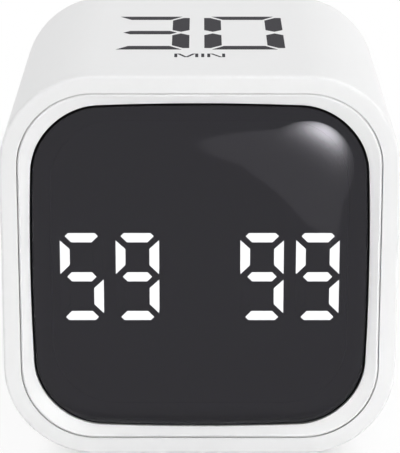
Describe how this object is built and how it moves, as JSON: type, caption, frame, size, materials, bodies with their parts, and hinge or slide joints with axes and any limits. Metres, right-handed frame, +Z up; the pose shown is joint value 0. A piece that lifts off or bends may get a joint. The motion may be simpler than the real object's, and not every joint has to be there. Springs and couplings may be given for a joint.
{
  "type": "digital cube timer",
  "caption": "White rounded cube timer with a domed smoked window over a lit segment display, and a hinged battery door, push buttons and a slide switch on its back.",
  "frame": {"origin": "middle of the underside, on the surface that the cube stands on", "axes": "+Z up, the display faces -Y, +X to the right as seen from the front"},
  "size_m": [0.06, 0.0616, 0.06],
  "materials": {
    "white_shell": "fine satin",
    "smoked_lens": "polished, tinted",
    "black_plastic": "matt",
    "lit_white": "glowing diffuser",
    "unlit_grey": "dark diffuser",
    "circuit_board": "solder mask",
    "led_body": "phosphor",
    "chip_black": "moulded",
    "capacitor_blue": "sleeved can",
    "header_ivory": "moulded",
    "ribbon_grey": "ribbed flat cable",
    "screw_steel": "zinc plated",
    "switch_metal": "stamped",
    "contact_nickel": "nickel plated",
    "cell_jacket": "plain printed film over a metal can",
    "gasket_foam": "foam",
    "lead_red": "soft insulation",
    "lead_black": "soft insulation",
    "control_grey": "fine satin"
  },
  "bodies": {
    "case": {"outer_sleeve": "white_shell", "front_bezel": "white_shell", "lens_gasket": "gasket_foam", "front_lens": "smoked_lens", "display_reflector": "black_plastic", "lit_segments": "lit_white", "unlit_segments": "unlit_grey", "display_board": "circuit_board", "display_leds": "led_body", "board_screws": "screw_steel", "controller_chip": "chip_black", "tilt_sensor": "chip_black", "filter_capacitor": "capacitor_blue", "buzzer": "chip_black", "ribbon_headers": "header_ivory", "ribbon_cable": "ribbon_grey", "key_board": "circuit_board", "key_board_screws": "screw_steel", "tact_switches": "chip_black", "slide_switch": "switch_metal", "rear_cover": "white_shell", "cover_screws": "screw_steel", "battery_cells": "cell_jacket", "cell_springs": "contact_nickel", "contact_plates": "contact_nickel", "positive_lead": "lead_red", "negative_lead": "lead_black"},
    "door": {"battery_door": "white_shell"},
    "minute_key": {"minute_button": "control_grey", "minute_plunger": "chip_black"},
    "second_key": {"second_button": "control_grey", "second_plunger": "chip_black"},
    "start_key": {"start_button": "control_grey", "start_plunger": "chip_black"},
    "mode_slider": {"mode_knob": "control_grey", "mode_lever": "chip_black"}
  },
  "joints": [
    {"name": "door_hinge", "type": "hinge", "parent": "case", "child": "door", "pos_m": [0, 0.02933, 0.0137], "axis": [-1, 0, 0], "range_deg": [0, 90]},
    {"name": "minute_press", "type": "slide", "parent": "case", "child": "minute_key", "axis": [0, -1, 0], "range_m": [0, 0.0005], "stiffness_N_per_m": 600},
    {"name": "second_press", "type": "slide", "parent": "case", "child": "second_key", "axis": [0, -1, 0], "range_m": [0, 0.0005], "stiffness_N_per_m": 600},
    {"name": "start_press", "type": "slide", "parent": "case", "child": "start_key", "axis": [0, -1, 0], "range_m": [0, 0.0005], "stiffness_N_per_m": 600},
    {"name": "mode_slide", "type": "slide", "parent": "case", "child": "mode_slider", "axis": [1, 0, 0], "range_m": [-0.0012, 0.0012]}
  ]
}
